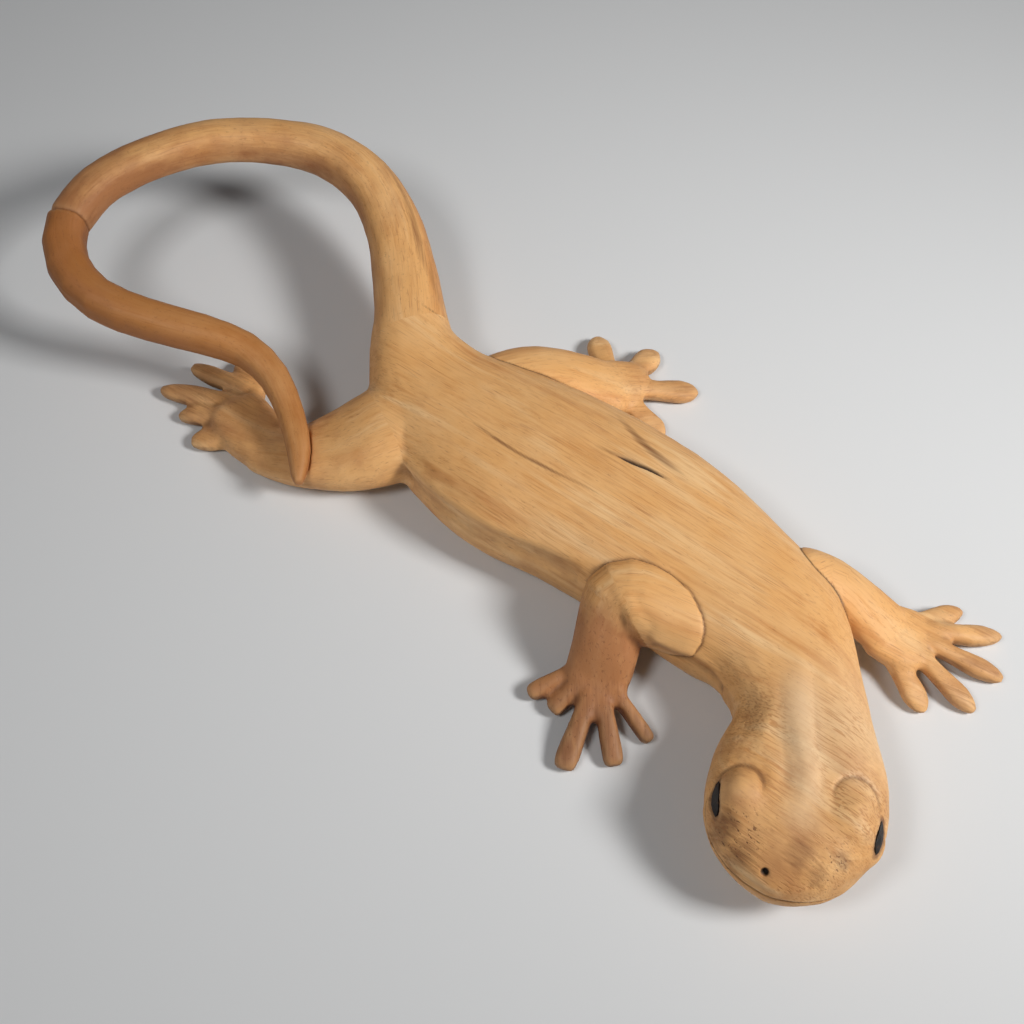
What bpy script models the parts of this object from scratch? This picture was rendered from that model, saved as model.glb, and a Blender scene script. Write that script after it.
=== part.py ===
"""A carved wooden lizard with a looped tail.

Seven pieces of wood make the figure: the trunk with its head, four legs, and a tail in two
lengths. The front legs and the left hind leg are let into the trunk. The right hind leg and the
tail are sawn from the same form as the trunk, so their skins run on smoothly across the joint.
The tail is spliced at the far bend of its loop, and its tip lies in a seat on the right hind
foot. Hidden dowels pin every joint, and two dark inlays are the eyes.

The head points to -Y, the animal's left is +X, and the belly and the toes rest on Z = 0.
Stations and points are in millimetres, and MM turns them into Blender's metres.
"""

import math

import bpy
import bmesh
from mathutils import Matrix, Vector

MM = 0.001

# Driving dimensions, in millimetres
GAP = 0.3               # clearance between glued faces, round each dowel and round the eyes
LEG_DOWEL = (3.0, 20.0)     # radius and length
TAIL_DOWEL = (2.5, 24.0)
TIP_PIN = (1.5, 12.0)
WAIST_SHARE = 0.42          # height of a section's widest line, as a share of its height
TRUNK_SQUARENESS = 2.5      # superellipse power of the trunk: 2 is an ellipse, 4 nearly a box
LIMB_SQUARENESS = 2.3
TOE_SQUARENESS = 3.2
RING_SIDES = 28
TOE_SIDES = 14
TAIL_SIDES = 20

# The head, drawn on its own axis through the middle of the line between the eyes
HEAD_CENTRE = (-1.5, -241.5)
HEAD_HEADING = math.radians(220.5)    # the way the eyes and brows face, from +X towards +Y
SNOUT_HEADING = math.radians(213)   # the snout turns a little to the right of that
HEAD_HALF_WIDTH = 45.0
SNOUT_LENGTH = 42.5
SNOUT_ARC_STEPS = 6
SNOUT_TAPER = 1.12   # above 1, the snout is narrower than an ellipse

# The face, in the head's own axes: ahead of HEAD_CENTRE, towards the animal's left, height
BROW = (2, 24, 43)
BROW_RADII = (17, 17, 16)
EYE = (6, 36.5, 45)
EYE_LENGTH = 17.0
EYE_HEIGHT = 6.5
EYE_DEPTH = 7.0
EYE_TILT = math.radians(8)     # the eye's front corner is the lower one
EYE_FACING = math.radians(35)  # how far above level the eye looks
RIGHT_NOSTRIL = (31, -11, 38)
LEFT_NOSTRIL = (31, 11, 38)
NOSTRIL_RADIUS = 1.5
RIGHT_NOSTRIL_DEPTH = 12.0
LEFT_NOSTRIL_DEPTH = 4.0
NOSTRIL_RUN_IN = 20.0   # how far outside the snout the drill starts

# Stations of the trunk and then of the tail: x, y, half width, bottom, top
TRUNK_STATIONS = [
    (17, -224, 43, 13, 59),
    (37, -203, 34.5, 11, 56),
    (49, -180, 37, 7, 56),
    (56, -152, 44.5, 1, 58),
    (52, -113, 50, -2, 59),
    (45, -73, 54, -2, 60),
    (32, -33, 56, -2, 60),
    (15, 6, 57, -2, 59),
    (4, 44, 51, -1, 56),
    (-1, 76, 41, 2, 54),
    (4, 106, 28, 10, 56),
]
TAIL_STATIONS = [
    (15, 127, 22, 18, 60),
    (27, 151, 20, 28, 65),
    (39, 181, 17.5, 40, 73),
    (42, 213, 15.5, 50, 81),
    (31, 246, 14, 57, 86),
    (4, 271, 13, 63, 89),
    (-28, 286, 12.5, 68, 93),
    (-65, 291, 12.5, 71, 95),
    (-100, 290, 12.5, 69, 93),
    (-127, 277, 12.5, 65, 89),
    (-140, 253, 12.5, 59, 83),
    (-136, 224, 12, 53, 77),
    (-118, 198, 11.5, 48, 71),
    (-96, 175, 11, 43, 65),
    (-80, 155, 10, 38, 58),
    (-75, 133, 9, 34, 51),
    (-79, 108, 8, 28, 43),
    (-87, 87, 7, 25, 38),
    (-95.5, 74, 4.5, 24, 34),
    (-98, 69.5, 2.2, 25, 31),
]
SPLICE_STATION = 9     # the tail station where its second length begins
TIP_PIN_STATION = 17   # the tail station whose underside is pinned to the right hind foot

# Limbs: x, y, z, half width, half thickness from inside the trunk to the wrist or ankle
RIGHT_FRONT_LIMB = [
    (44, -152, 26, 17, 15),
    (25, -129, 36, 21, 18),
    (5, -101, 40, 21, 19),
    (-7, -101, 34, 17, 15),
    (-18, -111, 23, 18, 12),
    (-27, -118, 16, 18, 8),
]
LEFT_FRONT_LIMB = [
    (70, -158, 30, 20, 17),
    (87, -142, 32, 18, 16),
    (99, -148, 30, 16, 14),
    (108, -166, 25, 15, 12),
    (115, -187, 17, 16, 8),
]
RIGHT_HIND_LIMB = [
    (-14, 68, 27, 27, 23),
    (-40, 71, 26, 30, 21),
    (-65, 81, 20, 26, 16),
    (-86, 96, 15, 19, 12),
    (-95, 114, 11, 19, 9),
]
LEFT_HIND_LIMB = [
    (18, 60, 28, 20, 19),
    (46, 58, 26, 22, 18),
    (64, 49, 24, 22, 15),
    (81, 38, 19, 20, 12),
    (96, 28, 13, 18, 9),
]

# Feet: the palm from the wrist to the roots of the toes, then each toe's root, tip and half width
RIGHT_FRONT_FOOT = {
    "palm": [(-24, -116, 16, 17, 8), (-31, -121, 13, 17, 7)],
    "toes": [
        ((-31, -109, 13), (-61, -102, 4), 5.2),
        ((-34, -116, 13), (-57, -117, 4), 5.4),
        ((-35, -123, 13), (-71, -147, 3), 6.6),
        ((-31, -126, 13), (-48, -161, 3), 5.8),
        ((-25, -125, 13), (-24, -161, 3), 4.2),
    ],
}
LEFT_FRONT_FOOT = {
    "palm": [(112, -182, 16, 16, 8), (122, -196, 12, 19, 7), (126, -201, 11, 16, 6)],
    "toes": [
        ((128, -188, 11), (164, -198, 4), 5.6),
        ((132, -196, 11), (171, -222, 3), 5.8),
        ((131, -203, 11), (153, -241, 3), 5.7),
        ((122, -205, 11), (127, -246, 3), 6.0),
        ((110, -198, 11), (105, -231, 3), 6.6),
    ],
}
RIGHT_HIND_FOOT = {
    "palm": [(-93, 108, 11, 17, 10), (-97, 132, 9, 19, 9), (-96, 149, 9, 17, 8)],
    "toes": [
        ((-79, 150, 9), (-77, 184, 5), 6.5),
        ((-84, 158, 9), (-102, 197, 5), 6.5),
        ((-94, 154, 9), (-126, 193, 4), 6.8),
        ((-102, 146, 9), (-126, 170, 3), 6.0),
        ((-104, 131, 9), (-129, 149, 3), 8.0),
    ],
}
LEFT_HIND_FOOT = {
    "palm": [(94, 36, 13, 15, 9), (104, 28, 10, 18, 8), (108, 23, 9, 16, 7)],
    "toes": [
        ((102, 42, 9), (115, 74, 4), 7.5),
        ((108, 34, 9), (139, 43, 4), 8.0),
        ((109, 24, 9), (141, 4, 3), 7.4),
        ((99, 18, 9), (101, -11, 3), 8.0),
    ],
}
TOE_HALF_THICKNESS = 5.0
# A toe's shares of its length, its half width and its half thickness, from its root to its tip
BLUNT_TOE = ((0.0, 0.9, 1.0), (0.35, 0.84, 1.1), (0.75, 1.0, 1.0), (0.93, 0.95, 0.85), (1.0, 0.68, 0.6))
LEAF_TOE = ((0.0, 0.8, 1.0), (0.35, 0.84, 1.05), (0.68, 1.05, 1.0), (0.88, 0.8, 0.8), (1.0, 0.3, 0.5))
TAPERED_TOE = ((0.0, 0.65, 1.0), (0.3, 0.8, 1.1), (0.6, 1.0, 1.0), (0.88, 0.75, 0.8), (1.0, 0.4, 0.5))

# Joints: a point on the sawn face, the normal that points out of the trunk, and the dowels' spread
RIGHT_FRONT_JOINT = ((30, -134, 28), (-1.0, 0.3, 0.0), 9)
LEFT_FRONT_JOINT = ((76, -152, 29), (1.0, 0.1, 0.0), 8)
RIGHT_HIND_JOINT = ((-40, 68, 26), (-1.0, 0.15, 0.0), 11)
LEFT_HIND_JOINT = ((31, 60, 27), (1.0, -0.2, 0.0), 9)
TAIL_JOINT = ((7, 115, 36), (0.3, 1.0, 0.0), 9)
HIP_BOX = (280, 120, 150)     # width, height and depth of the block sawn off at a joint
SPLICE_BOX = (70, 100, 400)
WHOLE_BOX = (600, 300, 400)   # wide enough for all that lies beyond a joint
FLOOR_BOX = (900, 900, 100)
TIP_PIN_LEVEL = 25.0   # height of the middle of the tail tip's pin

# How each form is smoothed: voxel size, rounds of smoothing, triangles kept
BODY_FINISH = (2.0, 4, 5000)
LEG_FINISH = (1.5, 3, 1100)

# Wood: colour and roughness of each kind, and the pieces that aren't of the pale one
PALE_WOOD = ("pale_wood", (0.72, 0.47, 0.23), 0.62)
AMBER_WOOD = ("amber_wood", (0.42, 0.19, 0.06), 0.58)
EYE_INLAY = ("eye_inlay", (0.02, 0.014, 0.012), 0.35)
DOWEL_WOOD = ("dowel_wood", (0.6, 0.4, 0.2), 0.7)
SHARP_ANGLE = math.radians(40)


def heading_point(origin, heading, distance):
    """The point in plan at a distance along a heading."""
    return (
        origin[0] + distance * math.cos(heading),
        origin[1] + distance * math.sin(heading),
    )


def snout_stations():
    """Stations of the head from the snout's tip back to the eyes, rounded as an ellipse."""
    stations = []
    for step in range(SNOUT_ARC_STEPS + 1):
        angle = math.radians(88) * (1 - step / SNOUT_ARC_STEPS)
        ahead = math.sin(angle)
        x, y = heading_point(HEAD_CENTRE, SNOUT_HEADING, SNOUT_LENGTH * ahead)
        half_width = HEAD_HALF_WIDTH * math.cos(angle) ** SNOUT_TAPER
        bottom = 15 + 6 * ahead**3
        top = 58 - 19 * ahead**2
        stations.append((x, y, half_width, bottom, top))
    return stations


def smooth_rows(rows, steps):
    """Rows of numbers read from a Catmull-Rom curve through the given rows."""
    made = []
    last = len(rows) - 1
    for i in range(last):
        p0, p1 = rows[max(i - 1, 0)], rows[i]
        p2, p3 = rows[i + 1], rows[min(i + 2, last)]
        for step in range(steps):
            t = step / steps
            made.append([
                0.5 * (2 * b + (c - a) * t + (2 * a - 5 * b + 4 * c - d) * t**2
                       + (3 * b - a - 3 * c + d) * t**3)
                for a, b, c, d in zip(p0, p1, p2, p3)
            ])
    made.append(list(rows[last]))
    return made


def ring_points(centre, side, up, half_width, below, above, squareness, sides):
    """The points of one superellipse section."""
    points = []
    for k in range(sides):
        angle = 2 * math.pi * k / sides
        c, s = math.cos(angle), math.sin(angle)
        across = math.copysign(abs(c) ** (2 / squareness), c) * half_width
        height = math.copysign(abs(s) ** (2 / squareness), s) * (above if s > 0 else below)
        points.append(centre + side * across + up * height)
    return points


def mesh_of_rings(name, rings):
    """A closed tube through rings of points, its two ends filled."""
    bm = bmesh.new()
    loops = [[bm.verts.new(p) for p in ring] for ring in rings]
    for first, second in zip(loops, loops[1:]):
        for k in range(len(first)):
            n = (k + 1) % len(first)
            bm.faces.new((first[k], first[n], second[n], second[k]))
    bm.faces.new(reversed(loops[0]))
    bm.faces.new(loops[-1])
    bmesh.ops.recalc_face_normals(bm, faces=bm.faces)
    return object_from(name, bm)


def object_from(name, bm):
    mesh = bpy.data.meshes.new(name)
    bm.to_mesh(mesh)
    bm.free()
    obj = bpy.data.objects.new(name, mesh)
    bpy.context.scene.collection.objects.link(obj)
    return obj


def spine_loft(name, stations, sides=RING_SIDES, steps=5):
    """A trunk or tail form through stations of x, y, half width, bottom and top."""
    rows = smooth_rows(stations, steps)
    rings = []
    for i, (x, y, half_width, bottom, top) in enumerate(rows):
        before, after = rows[max(i - 1, 0)], rows[min(i + 1, len(rows) - 1)]
        level = bottom + WAIST_SHARE * (top - bottom)
        tangent = Vector((after[0] - before[0], after[1] - before[1], 0)).normalized()
        side = tangent.cross(Vector((0, 0, 1)))
        rings.append(ring_points(
            Vector((x, y, level)) * MM, side, Vector((0, 0, 1)), max(half_width, 1) * MM,
            (level - bottom) * MM, (top - level) * MM, TRUNK_SQUARENESS, sides,
        ))
    return mesh_of_rings(name, rings)


def limb_loft(name, stations, squareness=LIMB_SQUARENESS, sides=RING_SIDES, round_end=True, steps=4):
    """A limb form through stations of x, y, z, half width and half thickness."""
    rows = smooth_rows(stations, steps)
    if round_end:
        rows = with_round_ends(rows)
    rings = []
    for i, (x, y, z, half_width, half_thickness) in enumerate(rows):
        before, after = rows[max(i - 1, 0)], rows[min(i + 1, len(rows) - 1)]
        tangent = Vector([b - a for a, b in zip(before[:3], after[:3])]).normalized()
        side = tangent.cross(Vector((0, 0, 1))).normalized()
        up = side.cross(tangent)
        rings.append(ring_points(
            Vector((x, y, z)) * MM, side, up, half_width * MM,
            half_thickness * MM, half_thickness * MM, squareness, sides,
        ))
    return mesh_of_rings(name, rings)


def with_round_ends(rows):
    """The same rows with a few shrinking ones past each end, as a rounded end."""
    def cap(end, neighbour):
        outward = Vector([a - b for a, b in zip(end[:3], neighbour[:3])]).normalized()
        reach = 0.8 * min(end[3], end[4])
        made = []
        for degrees in (35, 60, 80):
            angle = math.radians(degrees)
            place = Vector(end[:3]) + outward * reach * math.sin(angle)
            made.append([*place, end[3] * math.cos(angle), end[4] * math.cos(angle)])
        return made
    return cap(rows[0], rows[1])[::-1] + rows + cap(rows[-1], rows[-2])


def toe(name, base, tip, half_width, shape):
    """A toe from inside the palm to its tip."""
    base, tip = Vector(base), Vector(tip)
    stations = [
        (*base.lerp(tip, share), half_width * wide, TOE_HALF_THICKNESS * thick)
        for share, wide, thick in shape
    ]
    return limb_loft(name, stations, TOE_SQUARENESS, TOE_SIDES, round_end=False, steps=3)


def clear_scene():
    for obj in list(bpy.data.objects):
        bpy.data.objects.remove(obj)


def evaluated_copy(obj, name):
    """A new object whose mesh is the given one with its modifiers applied."""
    bpy.context.view_layer.update()
    graph = bpy.context.evaluated_depsgraph_get()
    mesh = bpy.data.meshes.new_from_object(obj.evaluated_get(graph))
    mesh.name = name
    made = bpy.data.objects.new(name, mesh)
    bpy.context.scene.collection.objects.link(made)
    return made


def replaced(obj, name):
    made = evaluated_copy(obj, name + "_made")
    bpy.data.objects.remove(obj)
    made.name = name
    return made


def fuse(name, forms, voxel, smoothing, triangles):
    """One smooth closed body from overlapping forms, thinned to about the triangles asked for."""
    bm = bmesh.new()
    for form in forms:
        bm.from_mesh(form.data)
        bpy.data.objects.remove(form)
    obj = object_from(name + "_rough", bm)
    remesh = obj.modifiers.new("Remesh", "REMESH")
    remesh.mode = "VOXEL"
    remesh.voxel_size = voxel * MM
    smooth = obj.modifiers.new("Smooth", "SMOOTH")
    smooth.factor = 0.5
    smooth.iterations = smoothing
    obj = replaced(obj, name)
    triangles_now = 2 * len(obj.data.polygons)
    decimate = obj.modifiers.new("Decimate", "DECIMATE")
    decimate.ratio = triangles / triangles_now
    return replaced(obj, name)


def grown(obj, by):
    """A copy of a body with its skin moved outwards."""
    made = evaluated_copy(obj, obj.name + "_grown")
    bm = bmesh.new()
    bm.from_mesh(made.data)
    bm.normal_update()
    moves = [(v, v.normal.copy()) for v in bm.verts]
    for v, normal in moves:
        v.co += normal * by * MM
    bm.to_mesh(made.data)
    bm.free()
    return made


def boolean(obj, other, operation, keep_other=False):
    name = obj.name
    modifier = obj.modifiers.new("Boolean", "BOOLEAN")
    modifier.operation = operation
    modifier.solver = "EXACT"
    modifier.object = other
    made = replaced(obj, name)
    if not keep_other:
        bpy.data.objects.remove(other)
    return made


def facing(direction):
    """A rotation that turns +Z to the given direction."""
    return Vector(direction).normalized().to_track_quat("Z", "Y").to_matrix().to_4x4()


def half_space(name, point, normal, width, height, depth, back=0.0):
    """A box whose flat face lies on a joint, standing out along the joint's normal."""
    bm = bmesh.new()
    bmesh.ops.create_cube(bm, size=1)
    scale = Matrix.Diagonal((width * MM, height * MM, (depth + back) * MM, 1))
    shift = Matrix.Translation((0, 0, (depth - back) / 2 * MM))
    place = Matrix.Translation(Vector(point) * MM) @ facing(normal)
    bm.transform(place @ shift @ scale)
    return object_from(name, bm)


def rod(name, centre, axis, radius, length, sides=16):
    bm = bmesh.new()
    bmesh.ops.create_cone(
        bm, cap_ends=True, segments=sides, radius1=radius * MM, radius2=radius * MM,
        depth=length * MM,
    )
    bm.transform(Matrix.Translation(Vector(centre) * MM) @ facing(axis))
    return object_from(name, bm)


def on_head(ahead, left, height):
    """A point given in the head's own axes."""
    cosine, sine = math.cos(HEAD_HEADING), math.sin(HEAD_HEADING)
    return Vector((
        HEAD_CENTRE[0] + ahead * cosine - left * sine,
        HEAD_CENTRE[1] + ahead * sine + left * cosine,
        height,
    ))


def ellipsoid(name, centre, radii, heading):
    bm = bmesh.new()
    bmesh.ops.create_icosphere(bm, subdivisions=3, radius=1)
    scale = Matrix.Diagonal((*[radius * MM for radius in radii], 1))
    bm.transform(Matrix.Translation(centre * MM) @ Matrix.Rotation(heading, 4, "Z") @ scale)
    return object_from(name, bm)


def almond(name, side, clearance):
    """An eye's outline between two arcs, run inwards through the side of the head."""
    half_length = EYE_LENGTH / 2 + clearance
    half_height = EYE_HEIGHT / 2 + clearance
    steps = 8
    shares = [-1 + 2 * k / steps for k in range(steps + 1)]
    upper = [(share * half_length, half_height * (1 - share**2)) for share in shares]
    lower = [(share * half_length, -half_height * (1 - share**2)) for share in shares[-2:0:-1]]
    outward = (on_head(0, side, 0) - on_head(0, 0, 0)).normalized()
    ahead = (on_head(1, 0, 0) - on_head(0, 0, 0)).normalized()
    up = Vector((0, 0, 1))
    rise = up * math.cos(EYE_FACING) - outward * math.sin(EYE_FACING)
    outward = outward * math.cos(EYE_FACING) + up * math.sin(EYE_FACING)
    along = ahead * math.cos(EYE_TILT) - rise * math.sin(EYE_TILT)
    rise = rise * math.cos(EYE_TILT) + ahead * math.sin(EYE_TILT)
    middle = on_head(EYE[0], side * EYE[1], EYE[2])
    rings = []
    for reach in (-EYE_DEPTH - clearance, EYE_DEPTH):
        rings.append([
            (middle + outward * reach + along * u + rise * v) * MM for u, v in upper + lower
        ])
    return mesh_of_rings(name, rings)


def leg_form(name, limb, foot, toe_shape):
    """One leg with its foot, from inside the trunk to the tips of its toes."""
    forms = [limb_loft(name + "_limb", limb), limb_loft(name + "_palm", foot["palm"], TOE_SQUARENESS)]
    for number, (base, tip, half_width) in enumerate(foot["toes"], start=1):
        forms.append(toe(f"{name}_toe_{number}", base, tip, half_width, toe_shape))
    return forms


def dowel_in(first, second, name, centre, axis, size):
    """Two pieces with one hole bored through both, and the dowel that fills it."""
    radius, length = size
    bore = rod(name + "_bore", centre, axis, radius + GAP, length + 2 * GAP)
    first = boolean(first, bore, "DIFFERENCE", keep_other=True)
    second = boolean(second, bore, "DIFFERENCE")
    rod(name, centre, axis, radius, length)
    return first, second


def dowel_pair(first, second, name, joint, size):
    """Two pieces pinned by two dowels side by side across a joint."""
    point, normal, spread = joint
    across = Vector((0, 0, 1)).cross(Vector(normal)).normalized()
    for number, side in ((1, -1), (2, 1)):
        centre = Vector(point) + across * side * spread
        first, second = dowel_in(first, second, f"{name}_dowel_{number}", centre, normal, size)
    return first, second


def saw_off(body, name, joint, size):
    """The part of a body beyond a joint's face as its own piece, and what is left of the body."""
    point, normal, _ = joint
    half_gap = Vector(normal).normalized() * GAP / 2
    keep = half_space(name + "_keep", Vector(point) + half_gap, normal, *size)
    waste = half_space(name + "_waste", Vector(point) - half_gap, normal, *size)
    piece = boolean(evaluated_copy(body, name), keep, "INTERSECT")
    return piece, boolean(body, waste, "DIFFERENCE")


def let_in(trunk, name, forms, joint):
    """A leg with its inner end sawn flat, and the trunk with a seat for it."""
    point, normal, _ = joint
    leg = fuse(name, forms, *LEG_FINISH)
    leg = boolean(leg, half_space(name + "_keep", point, normal, *WHOLE_BOX), "INTERSECT")
    return leg, boolean(trunk, grown(leg, GAP), "DIFFERENCE")


def eye_and_socket(trunk, name, side):
    """An inlay flush with the side of the head, and the trunk with its socket."""
    boolean(almond(name, side, 0.0), trunk, "INTERSECT", keep_other=True)
    return boolean(trunk, almond(name + "_socket", side, GAP), "DIFFERENCE")


def nostril(trunk, place, depth):
    """The trunk with one nostril drilled down and back into the snout."""
    inwards = (on_head(-1, 0, -1) - on_head(0, 0, 0)).normalized()
    middle = on_head(*place) + inwards * (depth - NOSTRIL_RUN_IN) / 2
    drill = rod("drill", middle, inwards, NOSTRIL_RADIUS, depth + NOSTRIL_RUN_IN)
    return boolean(trunk, drill, "DIFFERENCE")


def body_pieces():
    """Trunk, right hind leg and tail base, sawn from one smooth form."""
    body_stations = snout_stations() + TRUNK_STATIONS + TAIL_STATIONS[:SPLICE_STATION + 1]
    forms = [spine_loft("spine", body_stations)]
    ahead, out, height = BROW
    for side in (-1, 1):
        brow = on_head(ahead, side * out, height)
        forms.append(ellipsoid("brow", brow, BROW_RADII, HEAD_HEADING))
    forms += leg_form("right_hind", RIGHT_HIND_LIMB, RIGHT_HIND_FOOT, TAPERED_TOE)
    trunk = fuse("trunk", forms, *BODY_FINISH)
    right_hind, trunk = saw_off(trunk, "right_hind_leg", RIGHT_HIND_JOINT, HIP_BOX)
    tail_base, trunk = saw_off(trunk, "tail_base", TAIL_JOINT, WHOLE_BOX)
    return trunk, right_hind, tail_base


def splice_place():
    """The middle of the splice and the way the tail runs there."""
    before, here, after = TAIL_STATIONS[SPLICE_STATION - 1:SPLICE_STATION + 2]
    x, y, _, bottom, top = here
    along = Vector((after[0] - before[0], after[1] - before[1], 0)).normalized()
    return Vector((x, y, (bottom + top) / 2)), along


def spliced_tail(tail_base):
    """The tail's two lengths, each sawn square where they meet."""
    point, along = splice_place()
    tail_end = spine_loft("tail_end", TAIL_STATIONS[SPLICE_STATION - 1:], TAIL_SIDES, steps=2)
    keep = half_space("tail_end_keep", point + along * GAP / 2, along, *WHOLE_BOX)
    waste = half_space("tail_base_waste", point - along * GAP / 2, along, *SPLICE_BOX)
    return boolean(tail_base, waste, "DIFFERENCE"), boolean(tail_end, keep, "INTERSECT")


def stand_on_floor(pieces):
    """Every piece trimmed flat at Z = 0, then all moved so that their box is centred on the axes."""
    trimmed = []
    for piece in pieces:
        if min(vertex.co.z for vertex in piece.data.vertices) < 0:
            floor = half_space("floor", (0, 0, 0), (0, 0, -1), *FLOOR_BOX)
            piece = boolean(piece, floor, "DIFFERENCE")
        trimmed.append(piece)
    places = [vertex.co for piece in trimmed for vertex in piece.data.vertices]
    middle = Vector((0, 0, 0))
    for axis in (0, 1):
        reach = [place[axis] for place in places]
        middle[axis] = (min(reach) + max(reach)) / 2
    for piece in trimmed:
        piece.data.transform(Matrix.Translation(-middle))
    return trimmed


def make_material(name, colour, roughness):
    made = bpy.data.materials.new(name)
    made.use_nodes = True
    shader = made.node_tree.nodes["Principled BSDF"]
    shader.inputs["Base Color"].default_value = (*colour, 1)
    shader.inputs["Roughness"].default_value = roughness
    return made


def finish_pieces(pieces):
    """Give each piece its wood and smooth shading."""
    pale, amber, eye, dowel = [
        make_material(*kind) for kind in (PALE_WOOD, AMBER_WOOD, EYE_INLAY, DOWEL_WOOD)
    ]
    for piece in pieces:
        wood = pale
        if piece.name == "tail_end":
            wood = amber
        elif piece.name.endswith("eye"):
            wood = eye
        elif "dowel" in piece.name or "pin" in piece.name:
            wood = dowel
        piece.data.materials.clear()
        piece.data.materials.append(wood)
        piece.data.shade_smooth()
        piece.data.set_sharp_from_angle(angle=SHARP_ANGLE)


def main():
    clear_scene()
    trunk, right_hind, tail_base = body_pieces()
    right_front_form = leg_form("right_front", RIGHT_FRONT_LIMB, RIGHT_FRONT_FOOT, BLUNT_TOE)
    left_front_form = leg_form("left_front", LEFT_FRONT_LIMB, LEFT_FRONT_FOOT, LEAF_TOE)
    left_hind_form = leg_form("left_hind", LEFT_HIND_LIMB, LEFT_HIND_FOOT, LEAF_TOE)
    left_hind, trunk = let_in(trunk, "left_hind_leg", left_hind_form, LEFT_HIND_JOINT)
    right_front, trunk = let_in(trunk, "right_front_leg", right_front_form, RIGHT_FRONT_JOINT)
    left_front, trunk = let_in(trunk, "left_front_leg", left_front_form, LEFT_FRONT_JOINT)

    tail_base, tail_end = spliced_tail(tail_base)
    right_hind = boolean(right_hind, grown(tail_end, GAP), "DIFFERENCE")

    trunk = eye_and_socket(trunk, "right_eye", -1)
    trunk = eye_and_socket(trunk, "left_eye", 1)
    trunk = nostril(trunk, RIGHT_NOSTRIL, RIGHT_NOSTRIL_DEPTH)
    trunk = nostril(trunk, LEFT_NOSTRIL, LEFT_NOSTRIL_DEPTH)

    trunk, right_front = dowel_pair(trunk, right_front, "right_front", RIGHT_FRONT_JOINT, LEG_DOWEL)
    trunk, left_front = dowel_pair(trunk, left_front, "left_front", LEFT_FRONT_JOINT, LEG_DOWEL)
    trunk, right_hind = dowel_pair(trunk, right_hind, "right_hind", RIGHT_HIND_JOINT, LEG_DOWEL)
    trunk, left_hind = dowel_pair(trunk, left_hind, "left_hind", LEFT_HIND_JOINT, LEG_DOWEL)
    trunk, tail_base = dowel_pair(trunk, tail_base, "tail", TAIL_JOINT, TAIL_DOWEL)
    tail_base, tail_end = dowel_in(tail_base, tail_end, "splice_dowel", *splice_place(), TAIL_DOWEL)
    tip = (*TAIL_STATIONS[TIP_PIN_STATION][:2], TIP_PIN_LEVEL)
    dowel_in(tail_end, right_hind, "tail_tip_pin", tip, (0, 0, 1), TIP_PIN)

    finish_pieces(stand_on_floor(list(bpy.data.objects)))


main()
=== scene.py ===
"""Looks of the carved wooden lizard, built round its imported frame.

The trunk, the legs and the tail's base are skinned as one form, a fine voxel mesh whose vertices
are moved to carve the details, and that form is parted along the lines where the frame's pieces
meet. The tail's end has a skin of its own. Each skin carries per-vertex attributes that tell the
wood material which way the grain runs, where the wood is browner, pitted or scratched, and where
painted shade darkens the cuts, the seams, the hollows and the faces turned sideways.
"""

import math

import bmesh
import bpy
import numpy as np
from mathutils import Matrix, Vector, noise
from mathutils.bvhtree import BVHTree


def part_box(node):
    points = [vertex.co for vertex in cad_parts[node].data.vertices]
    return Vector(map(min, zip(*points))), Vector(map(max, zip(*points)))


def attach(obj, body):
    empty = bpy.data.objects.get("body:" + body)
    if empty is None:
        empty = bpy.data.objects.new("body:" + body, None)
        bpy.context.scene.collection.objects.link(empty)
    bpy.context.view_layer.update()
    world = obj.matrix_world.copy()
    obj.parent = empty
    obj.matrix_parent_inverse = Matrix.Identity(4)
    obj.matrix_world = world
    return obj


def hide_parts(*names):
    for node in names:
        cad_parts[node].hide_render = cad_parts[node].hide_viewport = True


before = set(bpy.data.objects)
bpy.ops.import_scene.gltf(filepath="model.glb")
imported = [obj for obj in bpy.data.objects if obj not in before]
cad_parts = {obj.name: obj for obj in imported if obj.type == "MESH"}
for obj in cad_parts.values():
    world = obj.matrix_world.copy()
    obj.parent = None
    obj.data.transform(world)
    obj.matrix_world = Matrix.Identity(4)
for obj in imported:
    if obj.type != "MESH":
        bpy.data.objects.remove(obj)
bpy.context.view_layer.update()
MM = 0.001

# The view
CAMERA_DISTANCE = 0.860
CAMERA_ELEVATION = math.radians(57)
CAMERA_AZIMUTH = math.radians(-35)
CAMERA_FIELD = math.radians(38)
SENSOR_WIDTH = 36
CLIP_START = 0.01

# Places are in millimetres, in the axes the pieces were drawn in: the splice dowel fixes them
SPLICE_DRAWN = (-127, 277, 77)

# Sawn faces of the one form: a point on the face, the normal out of the trunk, the reach
SAWN_JOINTS = (
    ((-40, 68, 26), (-1.0, 0.15, 0.0), 60),
    ((7, 115, 36), (0.3, 1.0, 0.0), 60),
)
SAWN_SLACK = 0.35      # how far from a joint's plane a sawn face's vertices may lie
OVERLAP = 0.4          # how far facing surfaces are pushed across a joint so that they fuse
SEAT_REACH = 1.6       # how near the trunk a let-in leg's surface counts as seated

ONE_FORM = ("trunk", "right_hind_leg", "tail_base")
LET_IN = ("right_front_leg", "left_front_leg", "left_hind_leg")

# Each limb's seam with the trunk: depth of the groove, step up onto the limb, darkness of the painted
# shade along the seam
SEAMS = {
    "right_front_leg": (0.4, 0.8, 0.36),
    "left_front_leg": (0.5, 0.3, 0.5),
    "left_hind_leg": (0.4, 0.2, 0.4),
    "right_hind_leg": (0.0, 0.0, 0.0),
    "tail_base": (0.0, 0.0, 0.0),
}

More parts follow.
